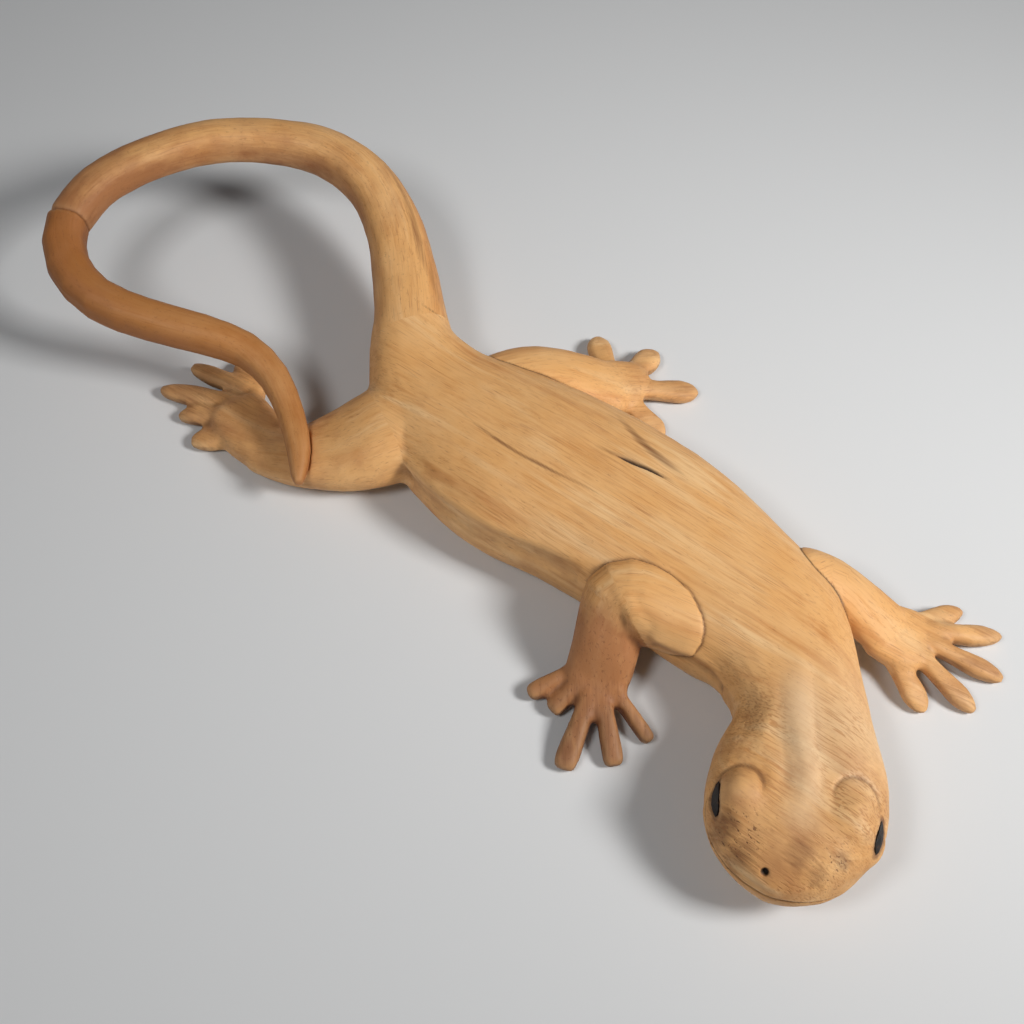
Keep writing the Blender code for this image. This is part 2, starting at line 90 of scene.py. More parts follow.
# Voxel sizes in millimetres and rounds of smoothing
FORM_SKIN = (1.2, 7)
TAIL_SKIN = (0.95, 8)
WELD = 0.01            # vertices nearer than this are joined
FIELD_ROUNDS = 8       # rounds of smoothing of the fields that place the seams
SEAM_SNAP = 0.06       # field values this near to 0 are moved onto the seam
SMOOTH_NORMAL_ANGLE = math.radians(48)

# Hollows are measured against a smoothed copy of the skin
HOLLOW_ROUNDS = 14
FULL_HOLLOW = 0.6

# The rounded lips of the tail's splice, and the painted shade along the joint between them
SPLICE_LIP = 0.55      # how far the lips stand up, in millimetres
SPLICE_LIP_WIDTH = 1.4  # how quickly they flatten away from the joint
SPLICE_RADIUS = 30     # how far from the splice dowel the lips are looked for
SPLICE_SHADE = 0.3

# The head's axes run from the middle of the line between the eyes: ahead, left, height
MOUTH_HEIGHT = 31.5
MOUTH_RISE = 7.0
MOUTH_RISES_BEHIND = 22.0
MOUTH_DEPTH = 2.1
MOUTH_WIDTH = 1.05
BROWS = ((-5, -30, 11.5), (-12, 26, 11.5))      # ahead, left, radius
BROW_LIFT = 1.8
NOSTRIL = (29.7, -10.2, 43.9)
NOSTRIL_DEPTH = 3.2
NOSTRIL_RADIUS = 1.4
RIDGE = [(-95, -16, 56), (-59, -10, 56), (-34, -5, 58), (-13, 0, 58), (2, 1, 57)]
LEFT_FURROW = [(-57, -23, 54), (-32, -14, 58), (-15, -8, 58), (6, -8, 56)]
RIGHT_FURROW = [(-66, 3, 55), (-40, 6, 58), (-22, 11, 58), (7, 11, 56)]
NECK_HOLLOW = [(-62, -30, 51), (-52, -32, 49), (-39, -33, 51), (-27, -33, 52)]

# How wide each line on the head is, and how far the wood rises along it
HEAD_LINES = (
    (RIDGE, 9, 1.3),
    (LEFT_FURROW, 9, -1.2),
    (RIGHT_FURROW, 9, -1.0),
    (NECK_HOLLOW, 13, -2.2),
)

# Round spots on the head: ahead, left, radius, strength
LEFT_CHEEK = ((10, 44, 24, 3.4),)        # a hollow, for places below the eyes
LEFT_SNOUT = ((24, 34, 20, 0.8),)        # a flatter place
SNOUT_BROWN = ((24, 0, 36, 0.66),)
NAPE_PALE = ((-50, 18, 55, 0.4),)
SNOUT_STAINS = (
    (14, -33, 14, 0.85), (24, -22, 13, 0.7), (12, -14, 13, 0.4), (20, 4, 16, 0.6),
    (26, 14, 10, 0.65), (17, 24, 10, 0.6),
)
SNOUT_PITS = ((18, -26, 20, 1.0), (20, 20, 14, 0.85))
STAINS_ABOVE = 30      # stains lie higher than this on the snout

# Lines on the body
BACK_CRACK = [(45, -33, 59.6), (50, -43, 59.6), (54.5, -51, 59.5), (58.5, -62, 59.4)]
BACK_STREAKS = [
    ([(66, -6, 52), (64, -31, 57), (65, -50, 58), (69, -72, 58)], 5.0),
    ([(38, -18, 59.6), (46, -34, 59.6), (54.5, -51, 59.5), (62, -70, 59.4)], 3.2),
    ([(-8, 52, 55), (-3, 24, 57), (4, -5, 58.6), (19, -40, 59.4), (27, -62, 59.5)], 2.2),
]
FLANK_EDGE = [
    (-50, 54, 38), (-44, 24, 38), (-36, -6, 41), (-26, -31, 42.5), (-13, -54, 44.5), (-1, -78, 47),
]
ARM_EDGE = [(-2, -124, 43), (8, -140, 40), (16, -156, 38), (15, -170, 36)]
ELBOW_CREASE = [(1, -99, 59), (2, -105, 58.6), (0, -114.5, 56), (-0.5, -125, 49), (-4, -124.5, 38)]
TAIL_ROOT_LINE = [(15, 124, 59), (22, 112, 55), (28, 104, 45)]
TAIL_STREAK = [
    (31, 104, 46), (33, 122, 54), (37, 145, 62), (45, 168, 68), (50, 185, 71), (52, 213, 76),
    (44, 240, 82),
]

# The grain runs along the trunk in a straight line and follows the tail and the limbs
TRUNK_GRAIN = [(125, -246, 40), (7, 115, 40)]
TAIL_GRAIN = [
    (7, 115, 40), (27, 151, 46), (39, 181, 56), (42, 213, 65), (31, 246, 71), (4, 271, 76),
    (-28, 286, 80), (-65, 291, 83), (-100, 290, 81), (-127, 277, 77), (-140, 253, 71),
    (-136, 224, 65), (-118, 198, 60), (-96, 175, 54), (-80, 155, 48), (-75, 133, 42),
    (-79, 108, 36), (-87, 87, 31), (-97, 66, 28),
]
LIMB_GRAIN = {
    "right_front_leg": [(44, -152, 26), (25, -129, 36), (5, -101, 40), (-18, -111, 23), (-47, -150, 4)],
    "left_front_leg": [(70, -158, 30), (99, -148, 30), (115, -187, 17), (145, -236, 4)],
    "right_hind_leg": [(-14, 68, 27), (-65, 81, 20), (-95, 114, 11), (-125, 190, 4)],
    "left_hind_leg": [(18, 60, 28), (64, 49, 24), (96, 28, 13), (141, 10, 4)],
}
GRAIN = {"trunk": TRUNK_GRAIN, "tail_base": TAIL_GRAIN, "tail_end": TAIL_GRAIN, **LIMB_GRAIN}

# The stain and the painted shade at the tail's bend, on faces turned sideways: the share of the length
# where it lies, its half-width, its strength
BEND_STAIN_AND_SHADE = (0.6, 0.06, 0.7)

# How brown the tail is along its length, as shares of the length and of full brown
TAIL_BROWN = (
    (0.0, 0.15, 0.4, 0.5, 0.56, 0.62, 0.72, 0.82, 0.93, 1.0),
    (0.1, 0.35, 0.35, 0.7, 1.0, 1.0, 0.5, 0.25, 0.15, 0.5),
)

# How brown each leg gets, the shares of its length where that starts and ends, how dark its toes get
# from stain on their tips and painted shade on their sides
LEG_LOOKS = {
    "right_front_leg": (1.0, 0.40, 0.60, 1.0),
    "left_front_leg": (0.5, 0.35, 0.9, 0.5),
    "right_hind_leg": (0.5, 0.12, 0.42, 0.75),
    "left_hind_leg": (0.5, 0.45, 0.8, 0.55),
}

# The floor and the light
FLOOR_COLOUR = (0.70, 0.712, 0.722, 1)
FLOOR_ROUGHNESS = 0.7
FLOOR_HALF_SIDE = 6
FLOOR_DROP = 0.0003    # how far the floor lies below the feet
SKY_COLOUR = (0.93, 0.96, 1.0, 1)
SKY_FALL = {"From Min": 0.0, "From Max": 0.35, "To Min": 0.62, "To Max": 0.06}

# Each lamp's azimuth, elevation, distance, size, power, colour, the place it is aimed at, spread
LAMPS = {
    "key": (34, 42, 1.5, 0.36, 4.3, (1.0, 0.985, 0.965), (0.14, 0.06), 84),
    "fill": (-78, 58, 1.5, 0.36, 2.3, (1.0, 0.99, 0.98), (0.05, 0.05), 114),
}


# ---------------------------------------------------------------- places and curves

splice_low, splice_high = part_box("splice_dowel")
SHIFT = np.array((splice_low + splice_high) / 2) - np.array(SPLICE_DRAWN) * MM


def at(*place):
    """A drawn place in the frame's metres."""
    return np.array(place, float) * MM + SHIFT


def middle_of(node):
    low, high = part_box(node)
    return np.array((low + high) / 2)


EYE_LINE = middle_of("left_eye") - middle_of("right_eye")
LEFT = np.array((EYE_LINE[0], EYE_LINE[1], 0)) / math.hypot(EYE_LINE[0], EYE_LINE[1])
AHEAD = np.array((LEFT[1], -LEFT[0], 0))
BETWEEN_EYES = (middle_of("left_eye") + middle_of("right_eye")) / 2


def on_head(ahead, left, height):
    """A place given in the head's axes, in the frame's metres."""
    place = BETWEEN_EYES + (AHEAD * ahead + LEFT * left) * MM
    place[2] = height * MM
    return place


def head_axes(places):
    """How far ahead, left and up each place is, in millimetres."""
    offset = (places - BETWEEN_EYES) / MM
    return offset @ AHEAD, offset @ LEFT, places[:, 2] / MM


def smooth_path(points, steps=6):
    """A Catmull-Rom curve through points."""
    points = [np.asarray(p, float) for p in points]
    made = []
    last = len(points) - 1
    for i in range(last):
        a, b = points[max(i - 1, 0)], points[i]
        c, d = points[i + 1], points[min(i + 2, last)]
        for step in range(steps):
            t = step / steps
            made.append(0.5 * (
                2 * b + (c - a) * t + (2 * a - 5 * b + 4 * c - d) * t**2
                + (3 * b - a - 3 * c + d) * t**3
            ))
    made.append(points[last])
    return np.array(made)


def body_path(points, steps=6):
    """A smooth curve through drawn places."""
    return smooth_path([at(*point) for point in points], steps)


def head_path(points):
    """A smooth curve through places in the head's axes."""
    return smooth_path([on_head(*point) for point in points])


def from_path(places, path):
    """Each place's distance from a path, and the share of the path's length at its nearest point."""
    best = np.full(len(places), np.inf)
    share = np.zeros(len(places))
    lengths = np.linalg.norm(np.diff(path, axis=0), axis=1)
    ends = np.concatenate([[0], np.cumsum(lengths)])
    for start, end, length, before in zip(path, path[1:], lengths, ends):
        along = (end - start) / length
        reach = np.clip((places - start) @ along, 0, length)
        distance = np.linalg.norm(places - start - reach[:, None] * along, axis=1)
        nearer = distance < best
        best[nearer] = distance[nearer]
        share[nearer] = (before + reach[nearer]) / ends[-1]
    return best, share


def bell(distance, width):
    """1 at nothing, 0 from the width on, and smooth between."""
    t = np.clip(distance / width, 0, 1)
    return (1 - t * t) ** 2


def ease(value, start, end):
    """0 before start, 1 after end, and smooth between."""
    t = np.clip((value - start) / (end - start), 0, 1)
    return t * t * (3 - 2 * t)


def strongest_spot(ahead, left, spots):
    """The strongest of several round spots at each place on the head."""
    strongest = np.zeros(len(ahead))
    for spot_ahead, spot_left, radius, strength in spots:
        spot = strength * bell(np.hypot(ahead - spot_ahead, left - spot_left), radius)
        strongest = np.maximum(strongest, spot)
    return strongest


# ---------------------------------------------------------------- meshes

def linked(name, mesh):
    obj = bpy.data.objects.new(name, mesh)
    bpy.context.scene.collection.objects.link(obj)
    return obj


def applied(obj):
    """Bake an object's modifiers into its mesh."""
    graph = bpy.context.evaluated_depsgraph_get()
    mesh = bpy.data.meshes.new_from_object(obj.evaluated_get(graph))
    obj.modifiers.clear()
    obj.data = mesh
    return obj


def places_of(mesh):
    places = np.zeros(len(mesh.vertices) * 3, np.float32)
    mesh.vertices.foreach_get("co", places)
    return places.reshape(-1, 3).astype(float)


def normals_of(mesh):
    normals = np.zeros(len(mesh.vertices) * 3, np.float32)
    mesh.vertex_normals.foreach_get("vector", normals)
    return normals.reshape(-1, 3).astype(float)


def move_to(mesh, places):
    mesh.vertices.foreach_set("co", places.astype(np.float32).ravel())
    mesh.update()


def neighbour_links(mesh):
    ends = np.zeros(len(mesh.edges) * 2, np.int32)
    mesh.edges.foreach_get("vertices", ends)
    return ends.reshape(-1, 2).T


def spread(values, links, count, rounds):
    """Values over a mesh's vertices, each round averaged with their neighbours'."""
    first, second = links
    order = np.maximum(np.bincount(first, minlength=count) + np.bincount(second, minlength=count), 1)
    values = values.reshape(count, -1).copy()
    for _ in range(rounds):
        for axis in range(values.shape[1]):
            column = values[:, axis]
            total = np.bincount(first, column[second], count)
            total += np.bincount(second, column[first], count)
            values[:, axis] = 0.5 * column + 0.5 * total / order
    return values


def tree_of(node):
    return BVHTree.FromObject(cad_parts[node], bpy.context.evaluated_depsgraph_get())


def distances_to(places, node):
    """How far each place is from a node's surface, in millimetres."""
    tree = tree_of(node)
    return np.array([tree.find_nearest(Vector(place))[3] for place in places]) / MM


def welded(node):
    """A node's mesh with the vertices that share a place joined."""
    bm = bmesh.new()
    bm.from_mesh(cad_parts[node].data)
    bmesh.ops.remove_doubles(bm, verts=bm.verts, dist=WELD * MM)
    bm.normal_update()
    return bm


def one_form():
    """The sawn and the let-in pieces overlapping a little at their joints, as one mesh."""
    whole = bmesh.new()
    trunk = tree_of("trunk")
    for node in ONE_FORM + LET_IN:
        bm = welded(node)
        if node in ONE_FORM:
            for point, normal, reach in SAWN_JOINTS:
                point = Vector(at(*point))
                normal = Vector(normal).normalized()
                for vertex in bm.verts:
                    offset = vertex.co - point
                    height = offset.dot(normal)
                    if abs(height) < SAWN_SLACK * MM and offset.length < reach * MM:
                        vertex.co += normal * (OVERLAP * MM if height < 0 else -OVERLAP * MM)
        else:
            seated = [v for v in bm.verts if trunk.find_nearest(v.co)[3] < SEAT_REACH * MM]
            moves = [(v, v.normal.copy()) for v in seated]
            for vertex, outwards in moves:
                vertex.co += outwards * OVERLAP * MM
        mesh = bpy.data.meshes.new(node)
        bm.to_mesh(mesh)
        bm.free()
        whole.from_mesh(mesh)
        bpy.data.meshes.remove(mesh)
    return whole


def voxel_skin(name, bm, voxel, rounds):
    mesh = bpy.data.meshes.new(name)
    bm.to_mesh(mesh)
    bm.free()
    obj = linked(name, mesh)
    remesh = obj.modifiers.new("Remesh", "REMESH")
    remesh.mode = "VOXEL"
    remesh.voxel_size = voxel * MM
    smooth = obj.modifiers.new("Smooth", "SMOOTH")
    smooth.factor = 0.5
    smooth.iterations = rounds
    return applied(obj)


def refined(obj, near):
    """Halve the edges of the faces that lie near something."""
    bm = bmesh.new()
    bm.from_mesh(obj.data)
    bm.verts.ensure_lookup_table()
    edges = {edge for i in np.flatnonzero(near) for edge in bm.verts[i].link_edges}
    edges = sorted(edges, key=lambda edge: edge.index)
    bmesh.ops.subdivide_edges(bm, edges=edges, cuts=1, use_grid_fill=True)
    bm.to_mesh(obj.data)
    bm.free()
    return obj


def largest_part(bm):
    """Delete all but the loose part of a mesh that has the most vertices."""
    unseen = set(bm.verts)
    parts = []
    while unseen:
        part = {unseen.pop()}
        stack = list(part)
        while stack:
            for edge in stack.pop().link_edges:
                for vertex in edge.verts:
                    if vertex in unseen:
                        unseen.remove(vertex)
                        part.add(vertex)
                        stack.append(vertex)
        parts.append(part)
    parts.sort(key=len)
    waste = [vertex for part in parts[:-1] for vertex in part]
    bmesh.ops.delete(bm, geom=waste, context="VERTS")


def parted(obj, field, name):
    """Cut a skin where a painted field changes sign, and close both sides: what lies on the
    field's positive side becomes a new object."""
    bm = bmesh.new()
    bm.from_mesh(obj.data)
    layer = bm.verts.layers.float[field]
    for vertex in bm.verts:
        if abs(vertex[layer]) < SEAM_SNAP:
            vertex[layer] = 0.0
    for edge in list(bm.edges):
        first, second = edge.verts
        here, there = first[layer], second[layer]
        if here * there < 0:
            made = bmesh.utils.edge_split(edge, first, here / (here - there))[1]
            made[layer] = 0.0
    for face in list(bm.faces):
        values = [vertex[layer] for vertex in face.verts]
        if min(values) < 0 < max(values):
            on_seam = [vertex for vertex in face.verts if vertex[layer] == 0]
            if len(on_seam) == 2:
                bmesh.utils.face_split(face, *on_seam)
    for side in (-1, 1):
        half = bm.copy()
        layer = half.verts.layers.float[field]
        waste = [face for face in half.faces if side * sum(v[layer] for v in face.verts) <= 0]
        bmesh.ops.delete(half, geom=waste, context="FACES")
        largest_part(half)
        rim = [edge for edge in half.edges if edge.is_boundary]
        caps = bmesh.ops.holes_fill(half, edges=rim, sides=0)["faces"]
        bmesh.ops.poke(half, faces=caps)
        bmesh.ops.recalc_face_normals(half, faces=half.faces)
        if side < 0:
            half.to_mesh(obj.data)
        else:
            mesh = bpy.data.meshes.new(name)
            half.to_mesh(mesh)
        half.free()
    bm.free()
    return linked(name, mesh)


# ---------------------------------------------------------------- carving

def unevenness(places, scale, seed):
    """Smooth noise over places, about -1 to 1, at a scale in millimetres."""
    offset = Vector((seed, 2 * seed, 3 * seed))
    factor = 1 / (scale * MM)
    return np.array([noise.noise(Vector(place) * factor + offset) for place in places])


def paint(mesh, name, values):
    layer = mesh.attributes.get(name) or mesh.attributes.new(name, "FLOAT", "POINT")
    layer.data.foreach_set("value", np.asarray(values, np.float32))


def painted(mesh, name):
    values = np.zeros(len(mesh.vertices), np.float32)
    layer = mesh.attributes.get(name)
    if layer is not None:
        layer.data.foreach_get("value", values)
    return values


def paint_vectors(mesh, name, vectors):
    layer = mesh.attributes.get(name) or mesh.attributes.new(name, "FLOAT_VECTOR", "POINT")
    layer.data.foreach_set("vector", np.asarray(vectors, np.float32).ravel())


def mouth_gap(ahead, height):
    """How far above the mouth line each place is."""
    behind = np.clip((MOUTH_RISES_BEHIND - ahead) / 20, 0, 1.5)
    return height - MOUTH_HEIGHT - MOUTH_RISE * behind**1.3


def carve_head(places, normals):
    """Mouth, brows, ridge, furrows, nostrils and the hollow of the neck: lift, and painted shade in the
    cuts.
    """
    ahead, left, height = head_axes(places)
    lift = np.zeros(len(places))
    cut_shade = np.zeros(len(places))

    side = np.hypot(ahead + 8, left)
    outer = ease(side, 26, 31) * ease(ahead, -5, 4) * (normals[:, 2] < 0.75)
    gap = mouth_gap(ahead, height)
    lift -= MOUTH_DEPTH * np.exp(-(gap / MOUTH_WIDTH) ** 2) * outer
    lift += 0.6 * np.exp(-((gap - 2.8) / 1.6) ** 2) * outer
    # Painted shade in the mouth's cut
    cut_shade += 0.85 * np.exp(-(gap / 1.2) ** 2) * outer

    top = ease(normals[:, 2], 0.1, 0.5)
    for brow_ahead, brow_left, radius in BROWS:
        away = np.hypot(ahead - brow_ahead, left - brow_left)
        backward = ease((brow_ahead - ahead) / radius, -0.7, 0.5)
        lift += BROW_LIFT * bell(away, radius) * top
        crease = np.exp(-((away - radius) / 1.7) ** 2) * backward * top
        lift -= 0.9 * crease
        # Painted shade in the crease round the back of each brow
        cut_shade += 0.2 * crease
    for points, width, rise in HEAD_LINES:
        distance, share = from_path(places, head_path(points))
        fade = ease(share, 0, 0.4) * ease(1 - share, 0, 0.35)
        lift += rise * bell(distance / MM, width) * fade * top
    away = np.linalg.norm(places - on_head(*NOSTRIL), axis=1) / MM
    lift -= NOSTRIL_DEPTH * np.exp(-(away / NOSTRIL_RADIUS) ** 2)
    # Painted shade in the nostril
    cut_shade += 1.2 * np.exp(-(away / 1.9) ** 4)
    below_eyes = 1 - ease(height, 33, 43)
    lift -= strongest_spot(ahead, left, LEFT_CHEEK) * below_eyes
    lift -= strongest_spot(ahead, left, LEFT_SNOUT)
    return lift, cut_shade


def flank_line(places, points):
    """How far above a line along the flank each place is, and how much the line counts there."""
    curve = body_path(points)
    away, share = from_path(places * (1, 1, 0), curve * (1, 1, 0))
    level = np.interp(share, np.linspace(0, 1, len(curve)), curve[:, 2]) / MM
    fade = ease(share, 0.0, 0.12) * ease(1 - share, 0.0, 0.1)
    return places[:, 2] / MM - level, fade * bell(away / MM, 26)


def carve_body(places):
    """The crack, the edges on flank and arm, the tail root's line and the elbow: lift, and painted
    shade in the cuts.
    """
    lift = np.zeros(len(places))
    cut_shade = np.zeros(len(places))

    distance, share = from_path(places, body_path(BACK_CRACK))
    open_share = np.sin(np.pi * np.clip(share, 0, 1)) ** 0.7
    slit = np.exp(-(distance / MM / (0.3 + 0.7 * open_share)) ** 2) * (open_share > 0.02)
    lift -= 2.2 * slit * open_share
    # Painted shade in the crack, darkest where it is widest
    cut_shade += 0.95 * slit * ease(open_share, 0, 0.9)

    for points in (FLANK_EDGE, ARM_EDGE):
        above, counts = flank_line(places, points)
        lift += (1.3 * np.exp(-(above / 3.0) ** 2) - 2.2 * np.exp(-((above + 9) / 6.0) ** 2)) * counts

    distance, share = from_path(places, body_path(TAIL_ROOT_LINE))
    line = np.exp(-(distance / MM / 0.8) ** 2) * ease(share, 0, 0.3) * ease(1 - share, 0, 0.3)
    lift -= 0.5 * line
    # Painted shade along the tail root's line
    cut_shade += 0.45 * line

    distance, share = from_path(places, body_path(ELBOW_CREASE))
    crease = np.exp(-(distance / MM / 2.8) ** 2) * ease(share, 0, 0.3) * ease(1 - share, 0, 0.2)
    # A little painted shade in the elbow's crease
    return lift - 0.5 * crease, cut_shade + 0.04 * crease


def carve_seams(places, fields):
    """A fine groove along each limb's seam, and a small step up onto the limb: lift, and painted shade
    along the seam.
    """
    lift = np.zeros(len(places))
    cut_shade = np.zeros(len(places))
    for limb, (groove, step, darkness) in SEAMS.items():
        field = fields[limb]
        line = np.exp(-(field / 0.8) ** 2)
        lift += step * ease(field, -0.2, 1.4) * (1 - ease(field, 5, 16)) - groove * line
        # Painted shade along the seam
        cut_shade += darkness * np.exp(-(field / 0.55) ** 2)
    return lift, cut_shade


def unevenness_of(places, seed):
    """The slight unevenness that a knife and a rasp leave, in millimetres."""
    return 0.35 * unevenness(places, 26, seed) + 0.16 * unevenness(places, 9, seed + 5)


def paint_hollows(mesh):
    """How hollow the surface is at each vertex, from -1 on an edge to 1 in a cut."""
    places, normals = places_of(mesh), normals_of(mesh)
    smoothed = spread(places, neighbour_links(mesh), len(places), HOLLOW_ROUNDS)
    hollow = np.einsum("ij,ij->i", smoothed - places, normals) / MM
    paint(mesh, "hollow", np.clip(hollow / FULL_HOLLOW, -1, 1))


def grain_of(places, path):
    """Places measured along, across and above the line that the grain follows."""
    curve = body_path(path, 4)
    best = np.full(len(places), np.inf)
    result = np.zeros((len(places), 3))
    before = 0.0
    for start, end in zip(curve, curve[1:]):
        step = end - start
        length = np.linalg.norm(step)
        along = step / length
        across = np.cross(along, (0, 0, 1))
        across /= np.linalg.norm(across)
        above = np.cross(across, along)
        offset = places - start
        reach = offset @ along
        held = np.clip(reach, 0, length)
        distance = np.linalg.norm(offset - held[:, None] * along, axis=1)
        nearer = distance < best
        best[nearer] = distance[nearer]
        result[nearer] = np.stack([before + reach, offset @ across, offset @ above], 1)[nearer]
        before += length
    return result


# ---------------------------------------------------------------- painting

def looks_of(node, places, normals):
    """The painted shares of one piece: brown, stain, pale, pits and rasp; brown and stain also hold
    painted shade.
    """
    count = len(places)
    # How far each face is turned sideways: used below to add painted shade to the brown and the stain
    # shares
    side_on = 1 - ease(normals[:, 2], 0.05, 0.75)
    looks = {name: np.zeros(count) for name in ("brown", "stain_and_shade", "pale", "pits", "rasp")}
    if node == "trunk":
        ahead, left, height = head_axes(places)
        above, counts = flank_line(places, FLANK_EDGE)
        below_edge = ease(-above, -0.5, 2.5) * np.clip(counts * 2, 0, 1)
        # Painted shade on faces turned sideways and in a band below the flank's edge, with the wood's
        # own brown towards the head and on the snout
        looks["brown"] = np.max([
            0.25 * side_on,
            0.36 * below_edge,
            0.4 * ease(ahead, -60, -15),
            strongest_spot(ahead, left, SNOUT_BROWN),
        ], axis=0)
        for points, width in BACK_STREAKS:
            distance, share = from_path(places, body_path(points))
            streak = 0.8 * bell(distance / MM, width) * np.sin(np.pi * share) ** 0.5
            looks["stain_and_shade"] = np.maximum(looks["stain_and_shade"], streak)
        stains = strongest_spot(ahead, left, SNOUT_STAINS) * (height > STAINS_ABOVE)
        looks["stain_and_shade"] = np.maximum(looks["stain_and_shade"], stains)
        eyes = np.minimum(distances_to(places, "left_eye"), distances_to(places, "right_eye"))
        looks["stain_and_shade"] = np.maximum(looks["stain_and_shade"], 0.95 * (1 - ease(eyes, 0.9, 3.6)))
        distance, share = from_path(places, head_path(RIDGE))
        ridge = bell(distance / MM, 15)
        nape = strongest_spot(ahead, left, NAPE_PALE)
        looks["pale"] = 0.38 * ridge * ease(share, 0.05, 0.45) + nape
        headward = 0.35 + 0.65 * ease(ahead, -75, -40)
        looks["rasp"] = headward * (1 - 0.9 * ridge) * ease(normals[:, 2], 0.2, 0.6)
        # Painted shade in the neck's hollow, carried by the stain share
        distance, share = from_path(places, head_path(NECK_HOLLOW))
        neck = 0.42 * bell(distance / MM, 12) * np.sin(np.pi * share)
        looks["stain_and_shade"] = np.maximum(looks["stain_and_shade"], neck)
        looks["pits"] = strongest_spot(ahead, left, SNOUT_PITS)
    elif node in ("tail_base", "tail_end"):
        share = from_path(places, body_path(TAIL_GRAIN, 4))[1]
        # The tail's own brown along its length, with painted shade on faces turned sideways
        looks["brown"] = np.interp(share, *TAIL_BROWN) + 0.45 * side_on
        # At the tail's bend, a stain with painted shade, only on faces turned sideways
        place, width, strength = BEND_STAIN_AND_SHADE
        looks["stain_and_shade"] = strength * np.exp(-((share - place) / width) ** 2) * side_on
        if node == "tail_base":
            distance, share = from_path(places, body_path(TAIL_STREAK))
            streak = 0.6 * bell(distance / MM, 8) * np.sin(np.pi * share) ** 0.5
            looks["stain_and_shade"] = np.maximum(looks["stain_and_shade"], streak)
        looks["pits"] += 0.2
        looks["rasp"] += 0.3
    else:
        share = from_path(places, body_path(LIMB_GRAIN[node]))[1]
        brownness, start, end, stain_and_shade_level = LEG_LOOKS[node]
        # The leg's own brown towards its foot, with painted shade on faces turned sideways
        looks["brown"] = np.maximum(brownness * ease(share, start, end), 0.35 * side_on)
        # The toes' tips stained, and painted shade on the toes' sides
        toe_sides = (1 - ease(normals[:, 2], 0.1, 0.65)) * ease(share, 0.62, 0.78)
        looks["stain_and_shade"] = stain_and_shade_level * np.maximum(0.7 * ease(share, 0.64, 0.95), toe_sides)
        looks["pits"] = 0.4 * brownness * ease(share, 0.3, 0.7)
        looks["rasp"] += 0.15
    return looks


def near_details(places):
    """Which vertices lie near a detail that needs a finer mesh."""
    ahead, left, height = head_axes(places)
    near = (np.abs(mouth_gap(ahead, height)) < 3) & (ahead > -1) & (np.hypot(ahead + 8, left) > 26)
    near |= from_path(places, body_path(BACK_CRACK))[0] < 4 * MM
    near |= np.linalg.norm(places - on_head(*NOSTRIL), axis=1) < 4 * MM
    return near


# ---------------------------------------------------------------- materials

def shader_of(material):
    material.use_nodes = True
    return material.node_tree.nodes["Principled BSDF"]


class Graph:
    """Short ways to add and join shader nodes."""

    def __init__(self, material):
        self.shader = shader_of(material)
        self.tree = material.node_tree

    def put(self, socket, value):
        if isinstance(value, bpy.types.NodeSocket):
            self.tree.links.new(value, socket)
        else:
            socket.default_value = value

    def place(self):
        return self.tree.nodes.new("ShaderNodeTexCoord").outputs["Object"]

    def attribute(self, name, output="Fac"):
        made = self.tree.nodes.new("ShaderNodeAttribute")
        made.attribute_name = name
        return made.outputs[output]

    def math(self, operation, first, second):
        made = self.tree.nodes.new("ShaderNodeMath")
        made.operation = operation
        self.put(made.inputs[0], first)
        self.put(made.inputs[1], second)
        return made.outputs[0]

    def scaled(self, vector, scale, shift=(0, 0, 0)):
        made = self.tree.nodes.new("ShaderNodeMapping")
        made.inputs["Scale"].default_value = scale
        made.inputs["Location"].default_value = shift
        self.put(made.inputs["Vector"], vector)
        return made.outputs[0]

    def noise(self, vector, scale, detail, roughness=0.5, distortion=0.0):
        made = self.tree.nodes.new("ShaderNodeTexNoise")
        made.inputs["Scale"].default_value = scale
        made.inputs["Detail"].default_value = detail
        made.inputs["Roughness"].default_value = roughness
        made.inputs["Distortion"].default_value = distortion
        self.put(made.inputs["Vector"], vector)
        return made.outputs["Fac"]

    def ramp(self, value, *stops):
        """A value turned into another one, or a colour, through stops of place and value."""
        made = self.tree.nodes.new("ShaderNodeValToRGB")
        elements = made.color_ramp.elements
        while len(elements) < len(stops):
            elements.new(0.5)
        for element, (place, colour) in zip(elements, stops):
            element.position = place
            element.color = colour if isinstance(colour, tuple) else (colour, colour, colour, 1)
        self.put(made.inputs[0], value)
        return made.outputs[0]

    def mix(self, share, first, second):
        made = self.tree.nodes.new("ShaderNodeMix")
        made.data_type = "RGBA"
        made.clamp_factor = True
        self.put(made.inputs[0], share)
        self.put(made.inputs[6], first)
        self.put(made.inputs[7], second)
        return made.outputs[2]

    def bump(self, height, strength, distance):
        made = self.tree.nodes.new("ShaderNodeBump")
        made.inputs["Strength"].default_value = strength
        made.inputs["Distance"].default_value = distance
        self.put(made.inputs["Height"], height)
        return made.outputs[0]


IVORY = (0.78, 0.58, 0.37, 1)
CREAM = (0.82, 0.525, 0.255, 1)
HONEY = (0.74, 0.395, 0.145, 1)
GOLD = (0.58, 0.255, 0.075, 1)
RUST = (0.42, 0.165, 0.05, 1)
BROWN = (0.34, 0.13, 0.048, 1)
UMBER = (0.13, 0.045, 0.017, 1)
# The colour of the painted shade in cuts, seams and the splice's joint
SHADE_BLACK = (0.018, 0.010, 0.006, 1)
AMBER = (0.34, 0.115, 0.02, 1)
EYE_BLACK = (0.006, 0.005, 0.004, 1)
EYE_BROWN = (0.018, 0.011, 0.008, 1)
EYE_FLECK = (0.09, 0.045, 0.022, 1)


